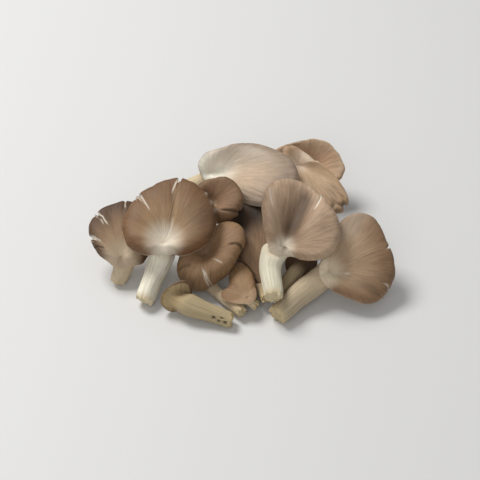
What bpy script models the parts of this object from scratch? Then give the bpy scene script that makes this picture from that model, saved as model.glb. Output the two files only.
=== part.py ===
"""Oyster mushroom cluster: a heap of grey oyster mushrooms, as cut from their clumps and laid on a flat
surface. Each mushroom grew as one piece, so each is one object: a cap with its stem.

A mushroom is modelled in its own frame, in millimetres: the origin is the hub, where the stem meets the
cap's upper face, +Z is the way that face looks and +X is the cap's long side. It is then turned and placed.
The object's frame is +Z up, with the surface at Z = 0 and the origin under the middle of the cluster.
"""

import math

import bpy
import numpy as np
from mathutils import Matrix, Vector

MM = 0.001

SEGMENTS = 20  # points round each ring
CROWDING = 0.4  # how much closer those points stand on the cap's long side than on its short one
STEP = 0.002  # for slopes, as a share of the radius and in radians

UPPER_RINGS = (0.2, 0.42, 0.64, 0.82, 0.93, 1.0)  # shares of the radius, hub to rim
LOWER_RINGS = (0.0, 0.3, 0.65)  # shares of the way in from the rim to where the flare begins
FLARE_FROM = 0.55  # that place, as a share of the radius, on a side that is wide enough
FLARE_CLEAR = 1.12  # and on a narrow side, as a multiple of the stem's top radius
FLARE_WIDEST = 0.97  # but never nearer the rim than this share of the radius
FLARE_RINGS = 4
FLARE_PULL = 0.45  # how far each end of the flare runs straight, as a share of its chord
STEM_RINGS = 5
STEM_PULL = 0.35  # the same for the stem's middle line
STEM_SAMPLES = 41  # points along that line
HUB_ROUNDING = 0.1  # share of the radius over which the hub's dip is rounded
FULL_REACH = 20.0  # reach from which the margin has its full thickness and roll, mm
LEAST_SHARE = 0.3  # share of them left on the narrowest side
ROLL_END = 1.2  # slopes at the rim are read a little beyond it, where the margin goes on rolling this far
THICKENING = 0.8  # how quickly the flesh thickens inwards: less than 1 is quick near the rim

# Each mushroom, in millimetres and degrees. "at" is its hub; "looks" is the compass direction and the tilt
# from upright of its upper face (0 = +X, 90 = +Y); "front" is the compass direction of its own +X. "reach" is
# the distance from hub to rim, "lift" the rim's height over the hub before it rolls down, and "belly" how far
# the face arches between them: evenly spaced values, counter-clockwise from +X. "curl" is the length of the
# margin that rolls down, by "curl_turn". "thickness" is of the rim and the flesh, "stem" the radii at the
# neck, half way and at the foot. "neck" and "foot" are in the mushroom's own frame.
CLUSTER = {
    "left_outer": {
        "at": (-81, -21, 21), "looks": (-95, 24), "front": 100,
        "reach": (40, 34, 20, 12, 9, 7, 7, 9, 13, 19, 29, 41),
        "lift": (2, 2, -1, -4, -4, -4), "belly": (4, 3, 0, 4),
        "curl": 5, "curl_turn": 75, "thickness": (1.3, 3.0),
        "neck": (-3, 0, -8), "foot": (-10, 6, -17), "stem": (7.0, 6.0, 5.4),
    },
    "left_fan": {
        "at": (-53, -21, 32), "looks": (-80, 22), "front": 78,
        "reach": (50, 43, 36, 30, 23, 14, 10, 10, 13, 24, 38, 46),
        "lift": (7, 1, 3, 0, 1, 4), "belly": (6, 6, 2, 5),
        "curl": 7, "curl_turn": 85, "thickness": (1.5, 3.6),
        "neck": (-3, 0, -12), "foot": (-36, 3, -19), "stem": (8.6, 6.6, 6.4),
    },
    "small_back": {
        "at": (-24, 14, 37), "looks": (-60, 22), "front": 60,
        "reach": (23, 20, 18, 16, 13, 11, 11, 11, 14, 21, 25, 25),
        "lift": (14, 8, 0, -4, 0, 13), "belly": (6,),
        "curl": 8, "curl_turn": 100, "thickness": (1.5, 3.5),
        "neck": (0, 1, -11), "foot": (3, 16, -41), "stem": (6.8, 5.5, 5.6),
    },
    "back": {
        "at": (-23, 49, 35), "looks": (-90, 25), "front": -5,
        "reach": (60, 37, 19, 14, 13, 12, 8, 7, 7, 9, 15, 56),
        "lift": (21, 18, 16, 14, 10, 6, 1, -1, -2, -2, 4, 23),
        "belly": (7, 6, 0, 2),
        "curl": 6, "curl_turn": 75, "thickness": (1.5, 3.8),
        "neck": (-3, -1, -12), "foot": (-37, -7, -30), "stem": (8.0, 6.5, 6.6),
    },
    "back_right": {
        "at": (37, 53, 41), "looks": (-55, 25), "front": -48,
        "reach": (48, 17, 9, 8, 9, 13, 17, 14, 12, 15, 22, 38),
        "lift": (16, 10, 7, 6, 5, 7), "belly": (5, 4, 1, 1),
        "curl": 6, "curl_turn": 85, "thickness": (1.5, 3.5),
        "neck": (1, -1, -11), "foot": (15, -11, -33), "stem": (7.2, 6.0, 6.0),
    },
    "far_right": {
        "at": (45, 70, 20), "looks": (-75, 22), "front": 75,
        "reach": (18, 18, 22, 29, 20, 11, 11, 13, 22, 25, 22, 19),
        "lift": (22, 18, 8, 5, 14, 22), "belly": (1,),
        "curl": 5, "curl_turn": 90, "thickness": (1.5, 3.5),
        "neck": (-1, -1, -7), "foot": (-8, -6, -13), "stem": (7.0, 6.0, 6.0),
    },
    "centre_trumpet": {
        "at": (25, -28, 38), "looks": (-80, 28), "front": 75,
        "reach": (49, 48, 22, 13, 10, 9, 7, 6, 10, 30, 40, 43),
        "lift": (5, -1, 0, -3, -6, -8, -9, -7, -1, 9, 11, 10), "belly": (-3, 8, 5, 1, 0, 0, 0, 0, 1, 3, 6, 7),
        "curl": 8, "curl_turn": 95, "thickness": (1.5, 3.6),
        "neck": (-3, 5, -12), "foot": (-35, -5, -3), "stem": (8.4, 6.6, 6.0),
    },
    "right_fan": {
        "at": (54, -37, 25), "looks": (-50, 32), "front": 35,
        "reach": (46, 49, 25, 11, 8, 7, 7, 8, 11, 19, 39, 45),
        "lift": (13, 6, 1, -1, -2, 6), "belly": (6, 2, 0, 2),
        "curl": 6, "curl_turn": 80, "thickness": (1.5, 3.6),
        "neck": (-8, -1, -12), "foot": (-41, -9, -17), "stem": (9.0, 7.2, 7.0),
    },
    "front_curl": {
        "at": (-27, -19, 21), "looks": (-50, 15), "front": -35,
        "reach": (25, 27, 33, 34, 20, 15, 16, 20, 23, 25, 26, 24),
        "lift": (2, 12, 1, -3, -5, -8), "belly": (8,),
        "curl": 9, "curl_turn": 115, "thickness": (1.5, 3.2),
        "neck": (0, -2, -12), "foot": (45, -18, -4), "stem": (5.8, 4.0, 4.0),
    },
    "front_small": {
        "at": (1, -50, 13), "looks": (-80, 10), "front": 100,
        "reach": (33, 18, 19, 13, 8, 6, 6, 6, 6, 7, 9, 15),
        "lift": (-4, -4, 1, 2, 1, 1), "belly": (2, 0, 0, 1),
        "curl": 4, "curl_turn": 50, "thickness": (1.2, 2.0),
        "neck": (0, -1, -3), "foot": (-4, -6, -6), "stem": (3.6, 3.2, 3.2),
    },
    "front_lying": {
        "at": (-48, -47, 13), "looks": (138, 80), "front": 90,
        "reach": (11, 11, 11, 11, 9, 8, 8, 8, 9, 14, 15, 12), "lift": (-8, -7, 0, 3, 3, -4), "belly": (-2,),
        "curl": 3, "curl_turn": 60, "thickness": (1.3, 2.5),
        "neck": (3, -1, -13), "foot": (14, -3, -41), "stem": (7.6, 5.6, 5.0),
    },
    "inner": {
        "at": (11, -29, 4), "looks": (-78, 26), "front": 85,
        "reach": (60, 53, 17, 7, 5, 5, 5, 5, 5, 6, 9, 24),
        "lift": (-2, -7, -4, -3, -3, -2), "belly": (4, 1, 0, 1),
        "curl": 5, "curl_turn": 80, "thickness": (1.4, 2.6),
        "neck": (-2, 0, -4), "foot": (-17, -4, 9), "stem": (4.4, 3.6, 3.6),
    },
    "hidden": {
        "at": (37, -20, 16), "looks": (70, 65), "front": 90,
        "reach": (9, 10, 11, 10, 9, 7, 7, 7, 9, 12, 12, 10), "lift": (-9, 0, 10, 11, 8, -6), "belly": (-2,),
        "curl": 3, "curl_turn": 60, "thickness": (1.4, 2.6),
        "neck": (1, 2, -8), "foot": (6, 7, -26), "stem": (5.5, 4.6, 4.6),
    },
}
# The caps' colours, linear.
CAP_COLOURS = {
    "left_outer": (0.32, 0.21, 0.14),
    "left_fan": (0.26, 0.16, 0.10),
    "small_back": (0.25, 0.16, 0.10),
    "back": (0.42, 0.31, 0.22),
    "back_right": (0.40, 0.29, 0.21),
    "far_right": (0.39, 0.27, 0.18),
    "centre_trumpet": (0.33, 0.23, 0.15),
    "right_fan": (0.29, 0.19, 0.13),
    "front_curl": (0.22, 0.14, 0.09),
    "front_small": (0.24, 0.15, 0.10),
    "front_lying": (0.40, 0.31, 0.22),
    "inner": (0.22, 0.14, 0.09),
    "hidden": (0.26, 0.18, 0.12),
}
FLESH_ROUGHNESS = 0.6
CUT_EDGE_ANGLE = 60  # sharper edges than this are cuts, degrees
PROPPED = ("centre_trumpet", "front_small")  # other mushrooms hold these up; the rest reach the surface
SETTLING = 0.5  # how far those press into the surface, which flattens them there, mm


def spaced_angles(count):
    """Angles once round the cap, closer together on its long side."""
    turn = np.arange(count) * 2 * np.pi / count
    return turn - CROWDING * np.sin(turn)


def around(values, angles):
    """A smooth closed curve through values that stand evenly round the cap, read at these angles."""
    values = np.atleast_1d(np.asarray(values, float))
    count = len(values)
    place = angles / (2 * np.pi) * count
    first = np.floor(place).astype(int)
    share = place - first
    before, here, after, beyond = (values[(first + k) % count] for k in (-1, 0, 1, 2))
    bend = 3 * (here - after) + beyond - before
    slope = 2 * before - 5 * here + 4 * after - beyond
    return here + 0.5 * share * (after - before + share * (slope + share * bend))


def fullness(reach):
    return np.clip(reach / FULL_REACH, LEAST_SHARE, 1)


def upper_face(shape, shares, angles):
    """The cap's upper face at these shares of its radius, one row of points for each row of shares."""
    reach, lift, belly = (around(shape[key], angles) for key in ("reach", "lift", "belly"))
    curl = np.minimum(shape["curl"], 0.5 * reach)
    turn = math.radians(shape["curl_turn"]) * fullness(reach)
    rolled = np.clip((shares * reach - reach + curl) / curl, 0, ROLL_END)
    radius = np.where(rolled > 0, reach - curl + curl * np.sin(turn * rolled) / turn, shares * reach)
    eased = np.hypot(shares, HUB_ROUNDING) - HUB_ROUNDING
    height = lift * eased + 4 * belly * eased * (1 - shares) - curl * (1 - np.cos(turn * rolled)) / turn
    return np.stack([radius * np.cos(angles), radius * np.sin(angles), height], -1)


def unit(vectors):
    return vectors / np.maximum(np.linalg.norm(vectors, axis=-1, keepdims=True), 1e-9)


def under_face(shape, inward, angles):
    """The cap's underside, these shares of the way from the rim to the flare, and the way it runs inwards."""
    reach = around(shape["reach"], angles)
    begin = np.clip(FLARE_CLEAR * shape["stem"][0] / reach, FLARE_FROM, FLARE_WIDEST)
    shares = 1 - inward * (1 - begin)
    outward = upper_face(shape, shares + STEP, angles) - upper_face(shape, shares - STEP, angles)
    sideways = upper_face(shape, shares, angles + STEP) - upper_face(shape, shares, angles - STEP)
    rim, body = shape["thickness"]
    depth = (rim + (body - rim) * inward**THICKENING) * fullness(reach)
    heading = -unit(outward) * (1, 1, 0) - (0, 0, 1) * np.abs(unit(outward))
    return upper_face(shape, shares, angles) - unit(np.cross(outward, sideways)) * depth[..., None], heading


def cubic(start, near_start, near_end, end, shares):
    """Points along a Bezier curve."""
    t = np.asarray(shares, float).reshape(-1, *[1] * np.ndim(start))
    near = 3 * t * (1 - t) * ((1 - t) * near_start + t * near_end)
    return (1 - t) ** 3 * start + near + t**3 * end


def stem_rings(shape, shares, angles):
    """Rings round the stem's curved middle line, from the neck to the foot, and the way that line runs."""
    neck = np.array(shape["neck"], float)
    foot = np.array(shape["foot"], float)
    reach = np.linalg.norm(foot - neck)
    away = unit(0.5 * unit(foot - neck) + 0.5 * unit(neck))
    steps = np.linspace(0, 1, STEM_SAMPLES)
    middle = cubic(neck, neck + STEM_PULL * reach * away, foot + STEM_PULL * (neck - foot), foot, steps)
    along = unit(np.gradient(middle, axis=0))
    side = [unit(np.array([1.0, 0, 0]) - along[0] * along[0][0])]
    for tangent in along[1:]:
        side.append(unit(side[-1] - tangent * (side[-1] @ tangent)))
    side = np.array(side)
    other = np.cross(side, along)
    shares = np.asarray(shares, float)

    def at(table):
        return np.stack([np.interp(shares, steps, table[:, k]) for k in range(3)], -1)[:, None]

    radius = np.interp(shares, (0, 0.5, 1), shape["stem"])[:, None, None]
    ring = np.cos(angles)[:, None] * at(side) + np.sin(angles)[:, None] * at(other)
    return at(middle) + radius * ring, at(along)


def rings_of(shape, angles):
    """All rings of the closed skin, from the hub over the rim and down the stem to the foot."""
    upper = upper_face(shape, np.array(UPPER_RINGS)[:, None], angles)
    lower, _ = under_face(shape, np.array(LOWER_RINGS)[:, None], angles)
    edge_way = unit(upper[-1] - upper_face(shape, np.array([[1 - STEP]]), angles)[0])
    half = 0.5 * (upper[-1] - lower[0])
    edge = lower[0] + half + np.linalg.norm(half, axis=-1)[:, None] * edge_way
    begin, inward = (row[0] for row in under_face(shape, np.array([[1.0]]), angles))
    stem, along = stem_rings(shape, np.linspace(0, 1, STEM_RINGS), angles)
    pull = FLARE_PULL * np.linalg.norm(stem[0] - begin, axis=-1, keepdims=True)
    on_flare = np.arange(FLARE_RINGS) / FLARE_RINGS
    flare = cubic(begin, begin + inward * pull, stem[0] - along[0] * pull, stem[0], on_flare)
    return np.concatenate([upper, edge[None], lower, flare, stem])


def skin(shape):
    """(points, faces) of one mushroom in its own frame."""
    rings = rings_of(shape, spaced_angles(SEGMENTS))
    last = 1 + (len(rings) - 1) * SEGMENTS
    points = np.concatenate([[[0, 0, 0]], rings.reshape(-1, 3), [rings[-1].mean(0)]])
    faces = []
    for j in range(SEGMENTS):
        k = (j + 1) % SEGMENTS
        faces.append((0, 1 + j, 1 + k))
        for ring in range(1, last, SEGMENTS):
            faces.append((ring + j, ring + SEGMENTS + j, ring + SEGMENTS + k, ring + k))
        faces.append((last + j, last + SEGMENTS, last + k))
    return points, faces


def own_axes(shape):
    """The rotation matrix from the mushroom's frame to the cluster's: its columns are the mushroom's axes."""
    compass, tilt = (math.radians(a) for a in shape["looks"])
    up = np.array([math.sin(tilt) * math.cos(compass), math.sin(tilt) * math.sin(compass), math.cos(tilt)])
    front = math.radians(shape["front"])
    forward = np.array([math.cos(front), math.sin(front), 0.0])
    forward = unit(forward - up * (forward @ up))
    return np.stack([forward, np.cross(up, forward), up], 1)


def placed(shape, propped):
    """(points, faces) of one mushroom where it lies in the cluster, in millimetres."""
    points, faces = skin(shape)
    points = points @ own_axes(shape).T + shape["at"]
    if not propped:
        points[:, 2] = np.maximum(points[:, 2] - points[:, 2].min() - SETTLING, 0)
    return points, faces


def flesh(name, colour):
    """A material for one mushroom: matt, damp-looking flesh."""
    material = bpy.data.materials.new(name + "_flesh")
    material.use_nodes = True
    shader = material.node_tree.nodes["Principled BSDF"]
    shader.inputs["Base Color"].default_value = (*colour, 1.0)
    shader.inputs["Metallic"].default_value = 0.0
    shader.inputs["Roughness"].default_value = FLESH_ROUGHNESS
    return material


def mushroom(name, points, faces, centre):
    """One mushroom's object: its own axes and hub are the object's, and the mesh is measured from them."""
    shape = CLUSTER[name]
    lie = Matrix(own_axes(shape).tolist()).to_4x4()
    lie.translation = (Vector(shape["at"]) - Vector(centre)) * MM
    from_cluster = lie.inverted()
    mesh = bpy.data.meshes.new(name)
    mesh.from_pydata([from_cluster @ (Vector(point - centre) * MM) for point in points], [], faces)
    mesh.shade_smooth()
    mesh.set_sharp_from_angle(angle=math.radians(CUT_EDGE_ANGLE))
    mesh.materials.append(flesh(name, CAP_COLOURS[name]))
    body = bpy.data.objects.new(name, mesh)
    body.matrix_world = lie
    bpy.context.scene.collection.objects.link(body)
    return body


def main():
    for old in list(bpy.data.objects):
        bpy.data.objects.remove(old)
    skins = {name: placed(shape, name in PROPPED) for name, shape in CLUSTER.items()}
    everything = np.concatenate([points for points, _ in skins.values()])
    low, high = everything.min(0), everything.max(0)
    centre = np.array([(low[0] + high[0]) / 2, (low[1] + high[1]) / 2, low[2]])
    for name, (points, faces) in skins.items():
        mushroom(name, points, faces, centre)


main()
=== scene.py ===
"""The looks of the oyster mushroom cluster: thirteen mushrooms with gills, split margins and fibrous stems.

Each mushroom stands in for the CAD node of the same name and follows that node's shape, so the table and the
functions for it are those of the CAD source, run here at full detail. Lengths are in millimetres until a mesh
is made. In a mushroom's own frame the origin is the hub, +Z is the way its cap looks and +X is its long side.
"""

import math

import bpy
import numpy as np
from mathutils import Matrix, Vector
from mathutils.kdtree import KDTree


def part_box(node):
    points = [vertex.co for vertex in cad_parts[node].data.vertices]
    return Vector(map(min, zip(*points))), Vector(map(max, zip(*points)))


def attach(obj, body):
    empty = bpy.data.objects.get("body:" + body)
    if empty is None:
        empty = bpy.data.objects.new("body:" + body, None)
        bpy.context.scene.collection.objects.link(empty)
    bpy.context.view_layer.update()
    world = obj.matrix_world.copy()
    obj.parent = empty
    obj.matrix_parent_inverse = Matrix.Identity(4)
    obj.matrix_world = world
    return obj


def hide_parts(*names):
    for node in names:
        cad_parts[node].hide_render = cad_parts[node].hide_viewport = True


MM = 0.001
FIRST_SEED = 3
SEED_STEP = 17  # each mushroom uses up to thirteen seeds

# The CAD source's values. The coarse ones are its rings, from which each node's place is found again.
COARSE_SEGMENTS = 20
COARSE_UPPER = (0.2, 0.42, 0.64, 0.82, 0.93, 1.0)
COARSE_LOWER = (0.0, 0.3, 0.65)
COARSE_FLARE = 4
COARSE_STEM = 5
CROWDING = 0.4  # how much closer the segments stand on the cap's long side than on its short one
STEP = 0.002  # for slopes, as a share of the radius and in radians
FLARE_FROM = 0.55  # where the flare begins, as a share of the radius, on a side that is wide enough
FLARE_CLEAR = 1.12  # and on a narrow side, as a multiple of the stem's top radius
FLARE_WIDEST = 0.97  # but never nearer the rim than this share of the radius
FLARE_PULL = 0.45  # how far each end of the flare runs straight, as a share of its chord
STEM_PULL = 0.35  # the same for the stem's middle line
STEM_SAMPLES = 41  # points along that line
HUB_ROUNDING = 0.1  # share of the radius over which the hub's dip is rounded
FULL_REACH = 20.0  # reach from which the margin has its full thickness and roll, mm
LEAST_SHARE = 0.3  # share of them left on the narrowest side
ROLL_END = 1.2  # slopes at the rim are read a little beyond it
THICKENING = 0.8  # how quickly the flesh thickens inwards: less than 1 is quick near the rim
PROPPED = ("centre_trumpet", "front_small")  # these lie on their neighbours and not on the surface
SETTLING = 0.5  # how far the others' lowest edge is worn flat against the surface, mm

CLUSTER = {
    "left_outer": {
        "at": (-81, -21, 21), "looks": (-95, 24), "front": 100,
        "reach": (40, 34, 20, 12, 9, 7, 7, 9, 13, 19, 29, 41),
        "lift": (2, 2, -1, -4, -4, -4), "belly": (4, 3, 0, 4),
        "curl": 5, "curl_turn": 75, "thickness": (1.3, 3.0),
        "neck": (-3, 0, -8), "foot": (-10, 6, -17), "stem": (7.0, 6.0, 5.4),
    },
    "left_fan": {
        "at": (-53, -21, 32), "looks": (-80, 22), "front": 78,
        "reach": (50, 43, 36, 30, 23, 14, 10, 10, 13, 24, 38, 46),
        "lift": (7, 1, 3, 0, 1, 4), "belly": (6, 6, 2, 5),
        "curl": 7, "curl_turn": 85, "thickness": (1.5, 3.6),
        "neck": (-3, 0, -12), "foot": (-36, 3, -19), "stem": (8.6, 6.6, 6.4),
    },
    "small_back": {
        "at": (-24, 14, 37), "looks": (-60, 22), "front": 60,
        "reach": (23, 20, 18, 16, 13, 11, 11, 11, 14, 21, 25, 25),
        "lift": (14, 8, 0, -4, 0, 13), "belly": (6,),
        "curl": 8, "curl_turn": 100, "thickness": (1.5, 3.5),
        "neck": (0, 1, -11), "foot": (3, 16, -41), "stem": (6.8, 5.5, 5.6),
    },
    "back": {
        "at": (-23, 49, 35), "looks": (-90, 25), "front": -5,
        "reach": (60, 37, 19, 14, 13, 12, 8, 7, 7, 9, 15, 56),
        "lift": (21, 18, 16, 14, 10, 6, 1, -1, -2, -2, 4, 23),
        "belly": (7, 6, 0, 2),
        "curl": 6, "curl_turn": 75, "thickness": (1.5, 3.8),
        "neck": (-3, -1, -12), "foot": (-37, -7, -30), "stem": (8.0, 6.5, 6.6),
    },
    "back_right": {
        "at": (37, 53, 41), "looks": (-55, 25), "front": -48,
        "reach": (48, 17, 9, 8, 9, 13, 17, 14, 12, 15, 22, 38),
        "lift": (16, 10, 7, 6, 5, 7), "belly": (5, 4, 1, 1),
        "curl": 6, "curl_turn": 85, "thickness": (1.5, 3.5),
        "neck": (1, -1, -11), "foot": (15, -11, -33), "stem": (7.2, 6.0, 6.0),
    },
    "far_right": {
        "at": (45, 70, 20), "looks": (-75, 22), "front": 75,
        "reach": (18, 18, 22, 29, 20, 11, 11, 13, 22, 25, 22, 19),
        "lift": (22, 18, 8, 5, 14, 22), "belly": (1,),
        "curl": 5, "curl_turn": 90, "thickness": (1.5, 3.5),
        "neck": (-1, -1, -7), "foot": (-8, -6, -13), "stem": (7.0, 6.0, 6.0),
    },
    "centre_trumpet": {
        "at": (25, -28, 38), "looks": (-80, 28), "front": 75,
        "reach": (49, 48, 22, 13, 10, 9, 7, 6, 10, 30, 40, 43),
        "lift": (5, -1, 0, -3, -6, -8, -9, -7, -1, 9, 11, 10), "belly": (-3, 8, 5, 1, 0, 0, 0, 0, 1, 3, 6, 7),
        "curl": 8, "curl_turn": 95, "thickness": (1.5, 3.6),
        "neck": (-3, 5, -12), "foot": (-35, -5, -3), "stem": (8.4, 6.6, 6.0),
    },
    "right_fan": {
        "at": (54, -37, 25), "looks": (-50, 32), "front": 35,
        "reach": (46, 49, 25, 11, 8, 7, 7, 8, 11, 19, 39, 45),
        "lift": (13, 6, 1, -1, -2, 6), "belly": (6, 2, 0, 2),
        "curl": 6, "curl_turn": 80, "thickness": (1.5, 3.6),
        "neck": (-8, -1, -12), "foot": (-41, -9, -17), "stem": (9.0, 7.2, 7.0),
    },
    "front_curl": {
        "at": (-27, -19, 21), "looks": (-50, 15), "front": -35,
        "reach": (25, 27, 33, 34, 20, 15, 16, 20, 23, 25, 26, 24),
        "lift": (2, 12, 1, -3, -5, -8), "belly": (8,),
        "curl": 9, "curl_turn": 115, "thickness": (1.5, 3.2),
        "neck": (0, -2, -12), "foot": (45, -18, -4), "stem": (5.8, 4.0, 4.0),
    },
    "front_small": {
        "at": (1, -50, 13), "looks": (-80, 10), "front": 100,
        "reach": (33, 18, 19, 13, 8, 6, 6, 6, 6, 7, 9, 15),
        "lift": (-4, -4, 1, 2, 1, 1), "belly": (2, 0, 0, 1),
        "curl": 4, "curl_turn": 50, "thickness": (1.2, 2.0),
        "neck": (0, -1, -3), "foot": (-4, -6, -6), "stem": (3.6, 3.2, 3.2),
    },
    "front_lying": {
        "at": (-48, -47, 13), "looks": (138, 80), "front": 90,
        "reach": (11, 11, 11, 11, 9, 8, 8, 8, 9, 14, 15, 12), "lift": (-8, -7, 0, 3, 3, -4), "belly": (-2,),
        "curl": 3, "curl_turn": 60, "thickness": (1.3, 2.5),
        "neck": (3, -1, -13), "foot": (14, -3, -41), "stem": (7.6, 5.6, 5.0),
    },
    "inner": {
        "at": (11, -29, 4), "looks": (-78, 26), "front": 85,
        "reach": (60, 53, 17, 7, 5, 5, 5, 5, 5, 6, 9, 24),
        "lift": (-2, -7, -4, -3, -3, -2), "belly": (4, 1, 0, 1),
        "curl": 5, "curl_turn": 80, "thickness": (1.4, 2.6),
        "neck": (-2, 0, -4), "foot": (-17, -4, 9), "stem": (4.4, 3.6, 3.6),
    },
    "hidden": {
        "at": (37, -20, 16), "looks": (70, 65), "front": 90,
        "reach": (9, 10, 11, 10, 9, 7, 7, 7, 9, 12, 12, 10), "lift": (-9, 0, 10, 11, 8, -6), "belly": (-2,),
        "curl": 3, "curl_turn": 60, "thickness": (1.4, 2.6),
        "neck": (1, 2, -8), "foot": (6, 7, -26), "stem": (5.5, 4.6, 4.6),
    },
}

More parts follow.
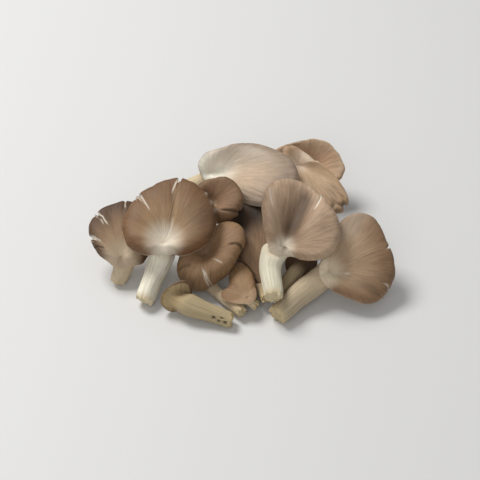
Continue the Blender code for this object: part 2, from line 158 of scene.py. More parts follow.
# How each cap is coloured and marked. Colours are the eye's: sRGB, 0 to 255. "inner" and "outer" are the cap
# near the hub and near the margin, "rim" is its very edge, and "hub" is the pale patch round the hub, with
# "hub_size" for its radius in mm.
# "creases" are splits, folds and bruises on the cap, and some dark ones are painted shade where the cap lies in
# shadow: the directions in degrees and the shares of the radius that each runs from and to, its half width and
# depth in mm, how white it is (dark below 0), and how deep a notch it makes in the margin, in mm.
# "holes" are in the stem: direction, share of the stem's length, radius in mm.
# "melt" is how much of a narrow margin flows into the stem, 1 if it isn't given. "gill" is the gills' colour,
# where it isn't the usual one, and "brown_under" is how far in the cap's colour goes on under the margin.
LOOKS = {
    "left_outer": {
        "inner": (168, 139, 109), "outer": (88, 62, 40), "rim": (140, 110, 82), "hub": (196, 176, 150),
        "hub_size": 12, "stem": (205, 186, 160), "creases": (
            (12, 18, 0.62, 1.0, 0.5, 1.0, 0.9, 3),
            (17, 22, 0.70, 1.0, 0.4, 0.8, 0.7, 1),
            (346, 347, 0.82, 1.0, 0.4, 0.8, 0.8, 1),
            (43, 46, 0.60, 1.0, 0.7, 1.6, 0.8, 5),
            (56, 60, 0.55, 0.95, 0.6, 0.8, -0.5, 0),
            (0, 0, 0.86, 1.0, 7.0, 0.0, -0.45, 0),
        ),
    },
    "left_fan": {
        "inner": (166, 136, 103), "outer": (118, 85, 56), "rim": (188, 168, 146), "hub": (234, 222, 202),
        "hub_size": 12, "stem": (252, 246, 230), "creases": (
            (6, 2, 0.69, 1.0, 0.5, 1.0, 0.95, 3),
            # A faint painted shadow along the groove from the split to the hub.
            (355, 6, 0.28, 0.72, 1.8, 0.8, -0.10, 0),
            (345, 354, 0.12, 0.30, 0.6, 0.4, 0.35, 0),
            (40, 42, 0.58, 1.0, 0.45, 1.0, 0.9, 3),
            (42, 47, 0.72, 1.0, 0.45, 0.8, 0.8, 3),
            (30, 30, 0.90, 1.0, 7.0, 0.6, -0.5, 0),
            # Partly darker flesh and partly painted shade: the lower right of the cap, turned down away from the
            # light.
            (320, 316, 0.40, 1.0, 11.0, 0.0, -0.36, 0),
            (335, 336, 0.90, 1.0, 1.2, -0.3, 0.45, -0.6),
            (326, 327, 0.90, 1.0, 1.4, -0.3, 0.40, -0.6),
            (318, 319, 0.90, 1.0, 1.2, -0.3, 0.35, -0.6),
        ),
    },
    "small_back": {
        "inner": (146, 114, 86), "outer": (124, 96, 70), "rim": (196, 172, 144), "hub": (190, 165, 140),
        "hub_size": 5, "stem": (196, 178, 150), "creases": (
            (262, 288, 0.50, 1.0, 1.0, 1.4, -0.7, 2),
            (300, 300, 0.93, 1.0, 6.0, 0.0, 0.4, 0),
        ),
    },
    "back": {
        "inner": (200, 175, 147), "outer": (158, 138, 120), "rim": (190, 168, 146), "hub": (255, 250, 234),
        "hub_size": 17, "stem": (226, 208, 176), "melt": 0.5, "creases": (
            (318, 318, 0.95, 1.0, 6.0, -0.6, 0.45, 0),
            (30, 22, 0.20, 0.70, 11.0, 0.0, 0.40, 0),
            (72, 66, 0.05, 0.55, 6.0, 0.0, 0.60, 0),
            (130, 130, 0.90, 1.0, 14.0, 0.0, -0.6, 0),
            (50, 50, 0.97, 1.0, 14.0, 0.0, -0.35, 0),
            (312, 318, 0.55, 0.85, 0.6, 0.2, -0.35, 0),
            (322, 326, 0.50, 0.80, 0.6, 0.2, -0.30, 0),
            (330, 332, 0.55, 0.85, 0.6, 0.2, -0.30, 0),
        ),
    },
    "back_right": {
        "inner": (192, 165, 135), "outer": (178, 148, 117), "rim": (205, 184, 162), "hub": (214, 194, 172),
        "hub_size": 8, "stem": (214, 200, 176), "creases": (
            (352, 343, 0.80, 0.92, 1.6, 1.2, -0.8, 0),
            (352, 359, 0.80, 1.0, 1.6, 1.2, -0.8, 2),
            (356, 356, 0.55, 0.78, 1.0, 0.5, -0.25, 0),
            (4, 2, 0.60, 0.85, 1.0, 0.5, -0.25, 0),
        ),
    },
    "far_right": {
        "inner": (212, 176, 146), "outer": (182, 154, 126), "rim": (198, 172, 144), "hub": (190, 150, 112),
        "hub_size": 6, "stem": (205, 188, 160), "creases": (),
    },
    "centre_trumpet": {
        "inner": (176, 148, 122), "outer": (178, 152, 126), "rim": (186, 163, 138), "hub": (224, 210, 188),
        "hub_size": 7, "stem": (228, 221, 202), "creases": (
            (340, 344, 0.68, 0.92, 0.5, 0.7, 1.0, 0),
            (37, 34, 0.60, 0.84, 0.35, 0.3, 0.35, 0),
            # The next two are painted shade: the dark hollow beside the hub and the shaded left side of the cap.
            (353, 357, 0.12, 0.72, 5.5, 1.3, -0.72, 0),
            (48, 38, 0.30, 1.0, 9.0, 0.0, -0.36, 0),
            (310, 300, 0.50, 1.0, 9.0, 0.0, -0.12, 0),
        ),
    },
    "right_fan": {
        "inner": (184, 156, 126), "outer": (138, 108, 80), "rim": (176, 148, 120), "hub": (230, 212, 184),
        "hub_size": 9, "stem": (196, 178, 152), "creases": (
            (353, 354, 0.88, 1.0, 0.4, 0.8, 0.9, 1.6),
            (318, 316, 0.84, 1.0, 0.4, 0.8, 0.8, 1.6),
            (320, 320, 0.23, 0.26, 0.7, 0.2, 0.8, 0),
            (308, 306, 0.50, 0.80, 3.0, 0.0, -0.35, 0),
            (335, 322, 0.70, 1.0, 8.0, 0.0, -0.18, 0),
            (40, 34, 0.50, 1.0, 9.0, 0.0, 0.22, 0),
        ),
    },
    "front_curl": {
        "inner": (146, 114, 83), "outer": (146, 116, 85), "rim": (168, 140, 114), "hub": (150, 122, 96),
        "hub_size": 4, "stem": (205, 186, 160), "creases": (
            (300, 322, 0.55, 1.0, 0.5, 0.8, 0.8, 2),
            (306, 327, 0.60, 1.0, 0.4, 0.6, 0.7, 1),
            (344, 351, 0.36, 0.57, 0.5, 0.4, 0.5, 0),
            (44, 40, 0.50, 1.0, 0.8, 1.2, -0.6, 2),
            (266, 250, 0.60, 0.88, 1.2, 0.6, -0.5, 0),
        ),
    },
    "front_small": {
        "inner": (150, 120, 88), "outer": (140, 110, 79), "rim": (202, 178, 154), "hub": (170, 142, 114),
        "hub_size": 4, "stem": (214, 196, 166), "creases": (),
    },
    "front_lying": {
        "inner": (120, 93, 68), "outer": (100, 75, 53), "rim": (130, 104, 80), "hub": (130, 104, 80),
        "hub_size": 3, "stem": (184, 166, 132), "creases": (),
        "melt": 0.0, "gill": (182, 160, 120), "brown_under": 0.35,
        "holes": ((200, 0.62, 1.1), (185, 0.75, 1.0), (215, 0.80, 0.8), (190, 0.9, 1.2)),
    },
    "inner": {
        "inner": (140, 112, 85), "outer": (134, 106, 79), "rim": (160, 134, 108), "hub": (150, 124, 98),
        "hub_size": 3, "stem": (190, 168, 136), "creases": (
            # These two are painted shade: the far part of this cap lies in the dark hollow under the caps above
            # it.
            (14, 10, 0.62, 1.0, 12.0, 0.0, -1.0, 0),
            (28, 24, 0.60, 1.0, 10.0, 0.0, -1.0, 0),
        ),
    },
    "hidden": {
        "inner": (104, 80, 58), "outer": (100, 77, 56), "rim": (140, 114, 90), "hub": (130, 104, 80),
        # Its gills are coloured dark as painted shade, for the shadowed gap in which it lies.
        "hub_size": 3, "stem": (186, 166, 136), "creases": (), "gill": (90, 68, 48),
    },
}
GILL_COLOUR = (206, 184, 152)
# GILL_SHADE is painted shade: the colour the gills take deep in the valleys between them.
GILL_SHADE = (150, 122, 90)
CUT_COLOUR = (206, 186, 144)
CRACK_COLOUR = (238, 228, 212)
# The dark of bruises and of the stem's holes, and also the painted shade in hollows and shaded parts of caps.
BRUISE_AND_SHADE_COLOUR = (48, 34, 23)


# The shape, as in the CAD source.


def spaced_angles(count):
    """Angles once round the cap, closer together on its long side."""
    turn = np.arange(count) * 2 * np.pi / count
    return turn - CROWDING * np.sin(turn)


def around(values, angles):
    """A smooth closed curve through values that stand evenly round the cap, read at these angles."""
    values = np.atleast_1d(np.asarray(values, float))
    count = len(values)
    place = angles / (2 * np.pi) * count
    first = np.floor(place).astype(int)
    share = place - first
    before, here, after, beyond = (values[(first + k) % count] for k in (-1, 0, 1, 2))
    curve = 2 * before - 5 * here + 4 * after - beyond
    bend = 3 * (here - after) + beyond - before
    return here + 0.5 * share * (after - before + share * (curve + share * bend))


def fullness(reach):
    """The share of thickness and roll that a margin with this reach has."""
    return np.clip(reach / FULL_REACH, LEAST_SHARE, 1)


def upper_face(shape, shares, angles):
    """The cap's upper face at these shares of its radius, one row of points for each row of shares."""
    reach, lift, belly = (around(shape[key], angles) for key in ("reach", "lift", "belly"))
    reach = reach * shape["margin"](angles)
    curl = np.minimum(shape["curl"], 0.5 * reach)
    turn = math.radians(shape["curl_turn"]) * fullness(reach)
    rolled = np.clip((shares * reach - reach + curl) / curl, 0, ROLL_END)
    radius = np.where(rolled > 0, reach - curl + curl * np.sin(turn * rolled) / turn, shares * reach)
    eased = np.hypot(shares, HUB_ROUNDING) - HUB_ROUNDING
    height = lift * eased + 4 * belly * eased * (1 - shares) - curl * (1 - np.cos(turn * rolled)) / turn
    return np.stack([radius * np.cos(angles), radius * np.sin(angles), height], -1)


def unit(vectors):
    return vectors / np.maximum(np.linalg.norm(vectors, axis=-1, keepdims=True), 1e-9)


def under_face(shape, inward, angles):
    """The cap's underside, these shares of the way from the rim to the flare, and the way it runs inwards."""
    reach = around(shape["reach"], angles) * shape["margin"](angles)
    begin = np.clip(FLARE_CLEAR * shape["stem"][0] / reach, FLARE_FROM, FLARE_WIDEST)
    shares = 1 - inward * (1 - begin)
    outward = upper_face(shape, shares + STEP, angles) - upper_face(shape, shares - STEP, angles)
    sideways = upper_face(shape, shares, angles + STEP) - upper_face(shape, shares, angles - STEP)
    rim, body = shape["thickness"]
    depth = (rim + (body - rim) * inward**THICKENING) * fullness(reach)
    heading = -unit(outward) * (1, 1, 0) - (0, 0, 1) * np.abs(unit(outward))
    return upper_face(shape, shares, angles) - unit(np.cross(outward, sideways)) * depth[..., None], heading


def cubic(start, near_start, near_end, end, shares):
    """Points along a Bezier curve."""
    t = np.asarray(shares, float).reshape(-1, *[1] * np.ndim(start))
    ends = (1 - t) ** 3 * start + t**3 * end
    return ends + 3 * t * (1 - t) ** 2 * near_start + 3 * t**2 * (1 - t) * near_end


def stem_rings(shape, shares, angles):
    """Rings round the stem's curved middle line, from the neck to the foot, and the way that line runs."""
    neck = np.array(shape["neck"], float)
    foot = np.array(shape["foot"], float)
    reach = np.linalg.norm(foot - neck)
    away = unit(0.5 * unit(foot - neck) + 0.5 * unit(neck))
    steps = np.linspace(0, 1, STEM_SAMPLES)
    middle = cubic(neck, neck + STEM_PULL * reach * away, foot + STEM_PULL * (neck - foot), foot, steps)
    along = unit(np.gradient(middle, axis=0))
    side = [unit(np.array([1.0, 0, 0]) - along[0] * along[0][0])]
    for tangent in along[1:]:
        side.append(unit(side[-1] - tangent * (side[-1] @ tangent)))
    side = np.array(side)
    other = np.cross(side, along)
    shares = np.asarray(shares, float)

    def at(table):
        return np.stack([np.interp(shares, steps, table[:, k]) for k in range(3)], -1)[:, None]

    radius = np.interp(shares, (0, 0.5, 1), shape["stem"])[:, None, None]
    ring = np.cos(angles)[:, None] * at(side) + np.sin(angles)[:, None] * at(other)
    return at(middle) + radius * ring, at(along)


def rings_of(shape, angles, upper_shares, edge_turns, lower_shares, flare_count, stem_shares):
    """All rings of the skin, from the hub over the rim and down the stem to the foot, in five groups."""
    upper = upper_face(shape, np.array(upper_shares)[:, None], angles)
    lower, _ = under_face(shape, np.array(lower_shares)[:, None], angles)
    edge_way = unit(upper[-1] - upper_face(shape, np.array([[1 - STEP]]), angles)[0])
    half = 0.5 * (upper[-1] - lower[0])
    bulge = np.linalg.norm(half, axis=-1)[:, None] * edge_way
    turns = np.radians(edge_turns)[:, None, None]
    edge = 0.5 * (upper[-1] + lower[0]) + np.cos(turns) * half + np.sin(turns) * bulge
    begin, inward = (row[0] for row in under_face(shape, np.array([[1.0]]), angles))
    stem, along = stem_rings(shape, stem_shares, angles)
    pull = FLARE_PULL * np.linalg.norm(stem[0] - begin, axis=-1, keepdims=True)
    on_flare = np.arange(flare_count) / flare_count
    flare = cubic(begin, begin + inward * pull, stem[0] - along[0] * pull, stem[0], on_flare)
    return upper, edge, lower, flare, stem


def own_axes(shape):
    """The rotation matrix from the mushroom's frame to the cluster's: its columns are the mushroom's axes."""
    compass, tilt = (math.radians(a) for a in shape["looks"])
    up = np.array([math.sin(tilt) * math.cos(compass), math.sin(tilt) * math.sin(compass), math.cos(tilt)])
    front = math.radians(shape["front"])
    forward = np.array([math.cos(front), math.sin(front), 0.0])
    forward = unit(forward - up * (forward @ up))
    return np.stack([forward, np.cross(up, forward), up], 1)


def placing(name, shape):
    """Where the hub comes to lie in the CAD's frame, in mm, so that the coarse rings fill the node's box."""
    plain = dict(shape, margin=lambda angles: 1.0)
    angles, stem = spaced_angles(COARSE_SEGMENTS), np.linspace(0, 1, COARSE_STEM)
    parts = rings_of(plain, angles, COARSE_UPPER, (90,), COARSE_LOWER, COARSE_FLARE, stem)
    coarse = np.concatenate([part.reshape(-1, 3) for part in parts]) @ own_axes(shape).T
    low = coarse.min(0)
    if name not in PROPPED:
        low[2] += SETTLING
    return np.array(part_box(name)[0]) / MM - low


# The detail. A ring's "way" is how far in from the rim it lies: 0 to 1 on the underside, 1 to 2 on the flare
# and 2 to 3 down the stem. Where two numbers go with smooth(), they are where a change begins and where it ends.

FINE_UPPER = np.concatenate([np.linspace(0.02, 0.78, 17), np.linspace(0.81, 1.0, 13)])
FINE_EDGE = (36, 72, 108, 144)
FINE_LOWER = np.linspace(0, 1, 18)[:-1]
FINE_FLARE = 14
FINE_STEM = 24
LARGE, SMALL = 336, 224  # segments; multiples of four gills
LARGE_FROM = 30  # longest reach above which a cap has the larger number, mm
USUAL_REACH = 45.0  # mm

# Waves in the skin: their height in mm, how many stand round the mushroom and how soon they change along it.
MARGIN_LOBES, MARGIN_TEETH = (0.03, 26, 0.0), (0.016, 70, 0.0)  # these two heights are shares of the reach
GILL_RAGGED = (0.5, 60, 0.0)  # this height is a share of the way
GILL_SWAY = (0.5, 40, 0.12)
SWELLS, RIPPLES, FIBRES = (1.5, 13, 0.045), (1.0, 34, 0.07), (0.16, 130, 0.12)
STEM_LUMPS, STEM_RIBS = (0.7, 9, 0.06), (0.15, 34, 0.03)
FOOT_TORN, FOOT_FRAYED, FOOT_ROUGH = (2.0, 16, 0.0), (1.2, 50, 0.0), (2.4, 14, 1.0)
CREASE_WANDER = (2.0, 9, 0.0)  # this height is in degrees
CREASE_PACE = 9.0  # how soon a crease turns on its way out

NOTCH_WIDENS = 1.2  # a notch is this much wider than its crease
NOTCH_LEAST = 0.7  # and at least this half width, mm
GATHER_BELOW = (1.0, 10)  # half width in mm and turn in degrees below which a crease draws segments together
GATHER = (0.6, 0.07)  # how much, and over how many radians
NARROW = (9.0, 15.0)  # a margin with a reach below the first is narrow, one above the second is not, mm
MELT_ROUNDS = 60
MELT_PULL = 0.5
MELT_SHARE = (0.35, 0.8)
MELT_WAY = (2.05, 2.45)
STALK_WAY = (1.5, 2.1)  # where gills give way to stem

GILL_STEPS = 4  # points across one gill
GILL_RIDGE = np.array([1.0, 0.3, 0.0, 0.3])  # its height at each of them
GILL_ENDS = (2.3, 0.45, 1.2, 0.45)  # how far in each of four neighbours runs
GILL_FADE = 0.25
GILL_RISE = (0.0, 0.12)
GILL_DEPTH = (0.4, 1.3)  # at the rim and gained further in, mm
GILL_GAIN, GILL_OPEN, GILL_CLOSE = (0.0, 0.6), (0.02, 0.2), (1.2, 2.2)
GILL_DEEPEST = 0.5  # share of the flesh
SWAY_RISE = (0.05, 0.5)
# The valleys between gills get painted shade, deeper as they deepen.
VALLEY = (0.0, 1.2)  # depths between which a valley's shade deepens, mm

FADES = (0.05, 0.15)  # shares of the radius over which a fine and a wide crease begin and end
WIDE = 1.5  # half width of a wide crease, mm
HOLE_DEPTH = 1.2  # mm
DEEPEST = 0.42  # share of the flesh that may be pushed in from one side
THINNEST = 0.9  # flesh kept where the two faces come near, mm
FAR = 99.0  # more than any flesh is thick, mm

FOOT_TUCK = 0.5  # mm
FOOT_TUCK_WAY = (2.9, 3.0)
FOOT_WAY = (2.7, 3.0)
FOOT_TRIM = 0.8  # mm
FOOT_DOME = 1.0  # mm
FOOT_SHARES = (0.94, 0.8, 0.6, 0.4, 0.2)  # the rings over the foot's end, as shares of its radius
FOOT_PACE = 6.0
CUT_WAY = (2.86, 3.0)


def lattice_noise(points, seed):
    """Smooth noise from 0 to 1, the same on every run."""
    cell = np.floor(points).astype(np.int64)
    part = points - cell
    part = part * part * (3 - 2 * part)
    total = 0.0
    for corner in np.ndindex(2, 2, 2):
        key = (cell + corner) @ np.array([73856093, 19349663, 83492791]) + seed * 2654435761
        key = (key ^ (key >> 13)) * 1274126177
        value = ((key ^ (key >> 16)) & 0xFFFF) / 65535.0
        weight = np.prod(np.where(corner, part, 1 - part), -1)
        total = total + value * weight
    return total


def waves(kind, angles, along, seed):
    """Waves of one kind, half of them up and half down."""
    height, lobes, pace = kind
    across = lobes / (2 * np.pi)
    spot = np.stack(np.broadcast_arrays(np.cos(angles) * across, np.sin(angles) * across, along * pace), -1)
    return height * (lattice_noise(spot + 100.0, seed) - 0.5)


def smooth(low, high, value):
    """From 0 at the lower value to 1 at the higher one, eased at both."""
    t = np.clip((value - low) / (high - low), 0, 1)
    return t * t * (3 - 2 * t)


def angle_between(angles, degrees):
    return (angles - math.radians(degrees) + np.pi) % (2 * np.pi) - np.pi


def margin_of(look, seed):
    """How far the margin stands in or out of its plain outline, as a function of direction."""

    def share(angles):
        wave = waves(MARGIN_LOBES, angles, 0.0, seed) + waves(MARGIN_TEETH, angles, 0.0, seed + 1)
        cut = 0.0
        for _, direction, _, _, width, _, _, notch in look["creases"]:
            off = angle_between(angles, direction) * USUAL_REACH
            spread = max(NOTCH_WIDENS * width, NOTCH_LEAST)
            cut = cut + notch / USUAL_REACH * np.exp(-((off / spread) ** 2))
        return 1 + wave - cut

    return share


def gathered(angles, look):
    """The segments' angles, drawn together where a fine crease runs."""
    fine, straight = GATHER_BELOW
    share, spread = GATHER
    for begin, direction, _, _, width, _, _, _ in look["creases"]:
        if width < fine and abs(begin - direction) < straight:
            off = angle_between(angles, 0.5 * (begin + direction))
            angles = angles - share * off * np.exp(-((off / spread) ** 2))
    return angles


def melted(rings, weight):
    """The rings eased along their columns by this weight, so that a narrow margin flows into the stem."""
    rings = rings.copy()
    for _ in range(MELT_ROUNDS):
        rings[1:-1] += MELT_PULL * weight[1:-1] * (rings[:-2] + rings[2:] - 2 * rings[1:-1])
    return rings


def flesh_between(rings, upper, lower):
    """The distance from each point of the cap's upper and under face to the other of the two."""
    between = np.full(rings.shape[:2], FAR)
    for here, there in ((upper, lower), (lower, upper)):
        others = rings[there].reshape(-1, 3)
        tree = KDTree(len(others))
        for index, point in enumerate(others):
            tree.insert(point, index)
        tree.balance()
        gaps = [tree.find(point)[2] for point in rings[here].reshape(-1, 3)]
        between[here] = np.array(gaps).reshape(len(here), -1)
    return between


class Fungus:
    """One mushroom's skin with its detail, in its own frame. What goes ring by ring stands in a column."""

    def __init__(self, name, seed):
        self.seed = seed
        self.look = look = LOOKS[name]
        self.shape = shape = dict(CLUSTER[name], margin=margin_of(look, seed))
        self.segments = LARGE if max(shape["reach"]) > LARGE_FROM else SMALL
        self.angles = angles = gathered(spaced_angles(self.segments), look)
        stem_shares = np.linspace(0, 1, FINE_STEM)
        groups = rings_of(shape, angles, FINE_UPPER, FINE_EDGE, FINE_LOWER, FINE_FLARE, stem_shares)
        rings = np.concatenate(groups)
        starts = np.cumsum([len(group) for group in groups])[:-1]
        self.upper, edge, lower, flare, self.stem = np.split(np.arange(len(rings)), starts)
        self.below = np.concatenate([lower, flare])

        self.share = np.ones((len(rings), 1))
        self.share[self.upper, 0] = FINE_UPPER
        self.under = np.zeros_like(self.share)
        self.under[edge, 0] = np.linspace(0, 1, len(edge))
        self.under[lower[0]:] = 1
        self.way = np.zeros_like(self.share)
        self.way[lower, 0] = FINE_LOWER
        self.way[flare, 0] = 1 + np.arange(FINE_FLARE) / FINE_FLARE
        self.way[self.stem, 0] = 2 + stem_shares
        self.stalk = smooth(*STALK_WAY, self.way)

        self.reach = around(shape["reach"], angles)
        self.body = fullness(self.reach)
        self.narrow = look.get("melt", 1.0) * (1 - smooth(*NARROW, self.reach))
        melting = self.narrow * (smooth(*MELT_SHARE, self.share) * (1 - smooth(*MELT_WAY, self.way)))
        self.rings = rings = melted(rings, melting[..., None])
        steps = np.linalg.norm(np.diff(rings, axis=0), axis=-1)
        steps = np.concatenate([np.zeros((1, self.segments)), steps])
        self.run = steps.cumsum(0) + np.linalg.norm(rings[0], axis=-1)
        self.sideways = 0.5 * (np.roll(rings, -1, 1) - np.roll(rings, 1, 1))
        self.outward = unit(np.cross(np.gradient(rings, axis=0), self.sideways))

    def gills(self):
        """How far gills push the underside in. One in four runs down the stem, the others end on the way."""
        way = self.way
        ends = np.choose(np.arange(self.segments) // GILL_STEPS % 4, GILL_ENDS)
        ends = ends + waves(GILL_RAGGED, self.angles, 0.0, self.seed + 2)
        standing = (1 - smooth(ends - GILL_FADE, ends, way)) * smooth(*GILL_RISE, way)
        standing = standing * self.under * (1 - self.narrow)
        deep = GILL_DEPTH[0] + GILL_DEPTH[1] * smooth(*GILL_GAIN, way)
        deep = deep * (1 - smooth(*GILL_CLOSE, way)) * smooth(*GILL_OPEN, way) * self.body
        rim, flesh = self.shape["thickness"]
        solid = (rim + (flesh - rim) * np.clip(way, 0, 1) ** THICKENING) * self.body
        deep = np.minimum(deep, GILL_DEEPEST * solid) * (1 - self.narrow)
        ridge = GILL_RIDGE[np.arange(self.segments) % GILL_STEPS]
        return -deep * (1 - ridge * standing)

    def swells(self):
        """Long swells and fibres on the cap, and lumps and ribs on the stem."""
        cap = 1 - self.under
        push = cap * self.body * self.share * waves(SWELLS, self.angles, self.run, self.seed + 4)
        push = push + cap * self.body * self.share**3 * waves(RIPPLES, self.angles, self.run, self.seed + 5)
        push = push + cap * waves(FIBRES, self.angles, self.run, self.seed + 6)
        lumps = waves(STEM_LUMPS, self.angles, self.run, self.seed + 7)
        return push + self.stalk * (lumps + waves(STEM_RIBS, self.angles, self.run, self.seed + 8))

    def creases(self):
        """How far the creases and the stem's holes push the skin in, and how white and how dark they are."""
        push, white, dark = np.zeros((3, *self.run.shape))
        share = self.share
        on_top = 1 - smooth(0.5, 1.0, self.under)
        for begin, finish, start, end, width, depth, pale, _ in self.look["creases"]:
            turned = (finish - begin + 180) % 360 - 180
            wander = waves(CREASE_WANDER, share * CREASE_PACE, 0.0, self.seed + 11)
            off = angle_between(self.angles, begin)
            off = off - np.radians(turned * (share - start) / (end - start) + wander)
            off = angle_between(off, 0) * share * self.reach
            fade = FADES[1] if width >= WIDE else FADES[0]
            kept = smooth(start - fade, start + fade, share) * (1 - smooth(end, end + fade, share))
            line = np.exp(-((off / width) ** 2)) * kept * on_top
            push = push - depth * line
            white = np.maximum(white, pale * line)
            dark = np.maximum(dark, -pale * line)
        length = np.linalg.norm(np.array(self.shape["foot"], float) - self.shape["neck"])
        for direction, at, radius in self.look.get("holes", ()):
            off = angle_between(self.angles, direction) * self.shape["stem"][1]
            hole = np.exp(-((np.hypot(off, (self.way - 2 - at) * length) / radius) ** 4)) * (self.way > 2)
            push = push - HOLE_DEPTH * hole
            dark = np.maximum(dark, hole)
        return push, white, dark

    def torn_foot(self, points):
        """The skin with its foot torn off unevenly, and the rough, broken fibre over the foot's end."""
        torn = waves(FOOT_TORN, self.angles, 0.0, self.seed + 9)
        torn = torn + waves(FOOT_FRAYED, self.angles, 0.0, self.seed + 10)
        down = unit(points[self.stem[-1]].mean(0) - points[self.stem[-4]].mean(0))
        points = points - (smooth(*FOOT_WAY, self.way) * (FOOT_TRIM + torn))[..., None] * down
        foot = points[self.stem[-1]]
        core = foot.mean(0)
        ends = []
        for at in FOOT_SHARES:
            rough = waves(FOOT_ROUGH, self.angles, at * FOOT_PACE, self.seed + 12)
            rough = rough * at + (1 - at) * FOOT_DOME
            ends.append(core + (foot - core) * at + rough[:, None] * down)
        return np.concatenate([points, ends])

    def grown(self):
        """The points, and what the material reads at each of them."""
        creases, white, dark = self.creases()
        push = self.gills() + self.swells() - FOOT_TUCK * smooth(*FOOT_TUCK_WAY, self.way) + creases
        between = flesh_between(self.rings, self.upper, self.below)
        push = np.maximum(push, -DEEPEST * between)
        push = push + self.under * (THINNEST - np.minimum(between, THINNEST))
        sway = waves(GILL_SWAY, self.angles, self.run, self.seed + 3)
        sway = sway * smooth(*SWAY_RISE, self.way) * (1 - self.stalk)
        points = self.rings + self.outward * push[..., None] + unit(self.sideways) * sway[..., None]
        points = self.torn_foot(points)

        under = self.under
        brown = self.look.get("brown_under", 0.0)
        if brown:
            under = under * smooth(0.5 * brown, brown, self.way)
        valley = smooth(*VALLEY, -push * self.under * (1 - self.stalk))
        on_skin = {  # on the skin, and over the foot's end
            "run": (self.run, self.run[-1]),
            "share": (self.share, 1.0),
            "under": (under, 1.0),
            "stalk": (self.stalk, 1.0),
            "cut": (smooth(*CUT_WAY, self.way), 1.0),
            "narrow": (self.narrow, 0.0),
            "valley": (valley, 0.0),
            "white": (white, 0.0),
            "dark": (dark, 0.0),
        }
        marks = {}
        for key, (values, at_end) in on_skin.items():
            ends = np.broadcast_to(np.asarray(at_end, float), (len(FOOT_SHARES), self.segments))
            marks[key] = np.concatenate([np.broadcast_to(values, self.run.shape), ends])
        grain = np.stack(np.broadcast_arrays(np.cos(self.angles), np.sin(self.angles), marks["run"]), -1)
        return points, marks, grain


def skin_faces(rows, segments):
    """The faces of a skin that begins at one point, the hub, and ends at another, the middle of the foot."""
    faces = []
    last = 1 + (rows - 1) * segments
    for j in range(segments):
        k = (j + 1) % segments
        faces.append((0, 1 + j, 1 + k))
        for ring in range(1, last, segments):
            faces.append((ring + j, ring + segments + j, ring + segments + k, ring + k))
        faces.append((last + j, last + segments, last + k))
    return faces


# Materials.

# Noise runs along the grain: these are its scales round the mushroom, twice, and along it, per mm.
FIBRE_GRAIN = (26.0, 26.0, 0.11)
THREAD_GRAIN = (60.0, 60.0, 0.16)
SECTOR_GRAIN = (2.6, 2.6, 0.03)
STREAK_GRAIN = (7.0, 7.0, 0.035)
PATCHES = 55.0  # per metre, like the next
PORES = 900.0
NARROW_PALE = 0.8  # how far a narrow margin takes the hub's colour
HUB_CALM = 0.6  # how far fibres fade near the hub
VALLEY_SHADE = 0.55
STREAK_SHADE = (0.86, 0.86, 0.86 * 0.93)
SPECULAR = 0.35
GLOW = 0.12  # light that goes on under the skin
GLOW_DEPTH = 0.002  # m
BUMP = 0.0006  # m


def linear(colour):
    """An sRGB colour, 0 to 255, as the shader wants it."""
    share = np.array(colour) / 255.0
    value = np.where(share <= 0.04045, share / 12.92, ((share + 0.055) / 1.055) ** 2.4)
    return (*(float(v) for v in value), 1.0)


class Tree:
    """Short words for the nodes of one material."""

    def __init__(self, material):
        material.use_nodes = True
        self.nodes = material.node_tree.nodes
        self.links = material.node_tree.links
        self.shader = self.nodes["Principled BSDF"]

    def put(self, socket, value):
        if isinstance(value, bpy.types.NodeSocket):
            self.links.new(value, socket)
        else:
            socket.default_value = value

    def node(self, kind, *values, **settings):
        made = self.nodes.new(kind)
        for key, value in settings.items():
            setattr(made, key, value)
        for socket, value in zip(made.inputs, values):
            if value is not None:
                self.put(socket, value)
        return made

    def math(self, operation, *values):
        return self.node("ShaderNodeMath", *values, operation=operation).outputs[0]

    def attribute(self, name):
        return self.node("ShaderNodeAttribute", attribute_name=name)

    def share(self, name):
        return self.attribute(name).outputs["Fac"]

    def ramp(self, value, low, high, to_low=0.0, to_high=1.0):
        made = self.node("ShaderNodeMapRange", interpolation_type="SMOOTHSTEP")
        settings = {"Value": value, "From Min": low, "From Max": high, "To Min": to_low, "To Max": to_high}
        for key, number in settings.items():
            self.put(made.inputs[key], number)
        return made.outputs[0]

    def mix(self, factor, first, second, blend="MIX"):
        made = self.node("ShaderNodeMix", data_type="RGBA", blend_type=blend, clamp_factor=True)
        self.put(made.inputs[0], factor)
        self.put(made.inputs[6], first)
        self.put(made.inputs[7], second)
        return made.outputs[2]

    def noise(self, vector, scale, detail=2.0, roughness=0.5):
        made = self.node("ShaderNodeTexNoise")
        settings = {"Vector": vector, "Scale": scale, "Detail": detail, "Roughness": roughness}
        for key, value in settings.items():
            self.put(made.inputs[key], value)
        return made.outputs["Fac"]

    def stretched(self, vector, by):
        return self.node("ShaderNodeVectorMath", vector, by, operation="MULTIPLY").outputs[0]


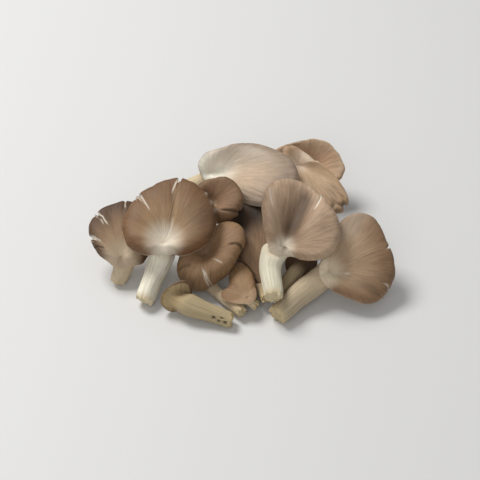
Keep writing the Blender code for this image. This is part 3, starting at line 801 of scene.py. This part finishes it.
def flesh(name, look):
    """One mushroom's flesh: fibrous cap, pale gills, streaked stem and a broken foot."""
    material = bpy.data.materials.new(name + "_flesh")
    tree = Tree(material)
    grain = tree.attribute("grain").outputs["Vector"]
    run, share = tree.share("run"), tree.share("share")
    place = tree.node("ShaderNodeTexCoord").outputs["Object"]

    fibres = tree.noise(tree.stretched(grain, FIBRE_GRAIN), 1.0, 3.0, 0.6)
    threads = tree.noise(tree.stretched(grain, THREAD_GRAIN), 1.0, 2.0, 0.6)
    sectors = tree.noise(tree.stretched(grain, SECTOR_GRAIN), 1.0, 2.0, 0.5)
    streak = tree.noise(tree.stretched(grain, STREAK_GRAIN), 1.0, 3.0, 0.6)
    patches = tree.noise(place, PATCHES, 3.0, 0.55)
    pores = tree.noise(place, PORES, 2.0, 0.6)

    # The cap, from the hub out.
    wander = tree.math("MULTIPLY_ADD", fibres, 0.30, -0.15)
    wander = tree.math("MULTIPLY_ADD", sectors, 0.5, tree.math("ADD", wander, -0.25))
    outwards = tree.math("ADD", share, wander)
    cap = tree.mix(tree.ramp(outwards, 0.30, 0.92), linear(look["inner"]), linear(look["outer"]))
    ragged = tree.math("MULTIPLY_ADD", wander, 0.6 * look["hub_size"], run)
    near_hub = tree.ramp(ragged, 0.25 * look["hub_size"], 1.5 * look["hub_size"], 1.0, 0.0)
    cap = tree.mix(near_hub, cap, linear(look["hub"]))
    cap = tree.mix(tree.math("MULTIPLY", tree.share("narrow"), NARROW_PALE), cap, linear(look["hub"]))
    shade = tree.ramp(fibres, 0.28, 0.72, 0.82, 1.12)
    shade = tree.math("MULTIPLY", shade, tree.ramp(threads, 0.25, 0.75, 0.93, 1.06))
    faint = tree.math("MULTIPLY_ADD", near_hub, -HUB_CALM, 1.0)
    shade = tree.math("MULTIPLY_ADD", tree.math("SUBTRACT", shade, 1.0), faint, 1.0)
    shade = tree.math("MULTIPLY", shade, tree.ramp(patches, 0.3, 0.7, 0.93, 1.05))
    cap = tree.mix(1.0, cap, tree.node("ShaderNodeCombineColor", shade, shade, shade).outputs[0], "MULTIPLY")
    edge = tree.math("MULTIPLY", tree.ramp(share, 0.955, 1.0), tree.ramp(patches, 0.35, 0.6, 0.35, 0.9))
    edge = tree.math("MULTIPLY", edge, tree.ramp(tree.share("narrow"), 0.0, 0.6, 1.0, 0.0))
    cap = tree.mix(edge, cap, linear(look["rim"]))

    # Gills, then the stem with its broken end, then what marks them all.
    gill, other_gill = look.get("gill", GILL_COLOUR), look.get("gill", look["stem"])
    gill = tree.mix(tree.ramp(fibres, 0.2, 0.8), linear(gill), linear(other_gill))
    # Painted shade in the valleys between the gills.
    gill = tree.mix(tree.math("MULTIPLY", tree.share("valley"), VALLEY_SHADE), gill, linear(GILL_SHADE))
    dull = np.array(look["stem"]) * STREAK_SHADE
    stem = tree.mix(tree.ramp(streak, 0.35, 0.72), linear(look["stem"]), linear(dull))
    stem = tree.mix(tree.math("MULTIPLY", tree.ramp(patches, 0.5, 0.75), 0.25), stem, linear(CUT_COLOUR))
    stem = tree.mix(tree.math("MULTIPLY", tree.share("cut"), 0.7), stem, linear(CUT_COLOUR))
    colour = tree.mix(tree.share("under"), cap, gill)
    colour = tree.mix(tree.share("stalk"), colour, stem)
    # Bruises and holes, and painted shade where dark creases stand for shadow.
    colour = tree.mix(tree.share("dark"), colour, linear(BRUISE_AND_SHADE_COLOUR))
    colour = tree.mix(tree.share("white"), colour, linear(CRACK_COLOUR))
    tree.put(tree.shader.inputs["Base Color"], colour)

    rough = tree.ramp(fibres, 0.2, 0.8, 0.50, 0.66)
    tree.put(tree.shader.inputs["Roughness"], rough)
    tree.shader.inputs["Specular IOR Level"].default_value = SPECULAR
    tree.shader.inputs["Subsurface Weight"].default_value = GLOW
    tree.shader.inputs["Subsurface Radius"].default_value = (1.0, 0.6, 0.35)
    tree.shader.inputs["Subsurface Scale"].default_value = GLOW_DEPTH
    height = tree.math("MULTIPLY_ADD", threads, 0.5, tree.math("MULTIPLY", fibres, 0.8))
    height = tree.math("MULTIPLY_ADD", pores, 0.25, height)
    bump = tree.node("ShaderNodeBump")
    bump.inputs["Strength"].default_value = 0.5
    bump.inputs["Distance"].default_value = BUMP
    tree.put(bump.inputs["Height"], height)
    tree.put(tree.shader.inputs["Normal"], bump.outputs[0])
    return material


def grow(name, seed):
    """One mushroom, put in the place of its CAD node."""
    points, marks, grain = Fungus(name, seed).grown()
    hub = placing(name, CLUSTER[name])
    points = points @ own_axes(CLUSTER[name]).T + hub
    if name not in PROPPED:
        points[..., 2] = np.maximum(points[..., 2], 0)
    rows, segments = points.shape[:2]
    end = points[-1].mean(0)
    everything = np.concatenate([[hub], points.reshape(-1, 3), [end]]) * MM
    mesh = bpy.data.meshes.new(name + "_flesh")
    mesh.from_pydata(everything.tolist(), [], skin_faces(rows, segments))
    mesh.shade_smooth()
    for key, values in marks.items():
        layer = mesh.attributes.new(key, "FLOAT", "POINT")
        flat = np.concatenate([[0.0], values.reshape(-1), [values[-1].mean()]])
        layer.data.foreach_set("value", flat.astype(np.float32))
    layer = mesh.attributes.new("grain", "FLOAT_VECTOR", "POINT")
    flat = np.concatenate([[[0, 0, 0]], grain.reshape(-1, 3), [[0, 0, grain[-1, 0, 2]]]])
    layer.data.foreach_set("vector", flat.astype(np.float32).reshape(-1))
    mesh.materials.append(flesh(name, LOOKS[name]))
    piece = bpy.data.objects.new(name + "_mushroom", mesh)
    bpy.context.scene.collection.objects.link(piece)
    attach(piece, "root")
    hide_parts(name)


# The studio.

TARGET = Vector((-0.3, 12.8, 0.0)) * MM
CAMERA_ELEVATION = 42.5  # degrees
CAMERA_DISTANCE = 1.0  # m
LENS = 109.5  # mm
SENSOR = 36.0  # mm
FLOOR_HALF = 15.0  # m
FLOOR_COLOUR = (0.70, 0.70, 0.695, 1.0)
FLOOR_ROUGHNESS = 0.55
WORLD_LIGHT = 0.34
LAMPS = (  # name, place in m, size in m, power in W, colour
    ("window", (-0.75, 0.60, 1.45), 0.8, 23.5, (1.0, 0.99, 0.97)),
    ("fill", (-0.4, -1.5, 1.1), 1.2, 6.5, (1.0, 1.0, 1.0)),
)


def camera():
    data = bpy.data.cameras.new("camera")
    data.lens = LENS
    data.sensor_width = SENSOR
    data.clip_start = 0.05
    data.clip_end = 100.0
    made = bpy.data.objects.new("camera", data)
    rise = math.radians(CAMERA_ELEVATION)
    back = Vector((0.0, -math.cos(rise), math.sin(rise)))
    made.location = TARGET + back * CAMERA_DISTANCE
    made.rotation_euler = (-back).to_track_quat("-Z", "Y").to_euler()
    bpy.context.scene.collection.objects.link(made)
    bpy.context.scene.camera = made


def softbox(name, place, size, power, colour):
    data = bpy.data.lights.new(name, "AREA")
    data.shape = "DISK"
    data.size = size
    data.energy = power
    data.color = colour
    lamp = bpy.data.objects.new(name, data)
    lamp.location = place
    lamp.rotation_euler = (TARGET - Vector(place)).to_track_quat("-Z", "Y").to_euler()
    bpy.context.scene.collection.objects.link(lamp)


def studio():
    mesh = bpy.data.meshes.new("floor")
    corners = ((-1, -1), (1, -1), (1, 1), (-1, 1))
    mesh.from_pydata([(x * FLOOR_HALF, y * FLOOR_HALF, 0) for x, y in corners], [], [(0, 1, 2, 3)])
    material = bpy.data.materials.new("pale_floor")
    material.use_nodes = True
    shader = material.node_tree.nodes["Principled BSDF"]
    shader.inputs["Base Color"].default_value = FLOOR_COLOUR
    shader.inputs["Roughness"].default_value = FLOOR_ROUGHNESS
    mesh.materials.append(material)
    floor = bpy.data.objects.new("floor", mesh)
    bpy.context.scene.collection.objects.link(floor)
    world = bpy.data.worlds.new("studio")
    world.use_nodes = True
    world.node_tree.nodes["Background"].inputs[0].default_value = (1.0, 1.0, 1.0, 1.0)
    world.node_tree.nodes["Background"].inputs[1].default_value = WORLD_LIGHT
    bpy.context.scene.world = world
    for name, place, size, power, colour in LAMPS:
        softbox(name, place, size, power, colour)
    bpy.context.scene.view_settings.view_transform = "Standard"


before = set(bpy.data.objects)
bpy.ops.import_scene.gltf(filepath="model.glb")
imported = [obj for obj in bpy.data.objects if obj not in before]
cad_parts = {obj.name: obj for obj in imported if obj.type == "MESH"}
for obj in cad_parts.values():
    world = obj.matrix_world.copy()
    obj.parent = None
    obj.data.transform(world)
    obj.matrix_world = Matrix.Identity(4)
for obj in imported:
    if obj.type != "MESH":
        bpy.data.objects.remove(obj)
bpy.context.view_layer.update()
camera()
for count, mushroom in enumerate(CLUSTER):
    grow(mushroom, FIRST_SEED + SEED_STEP * count)
studio()
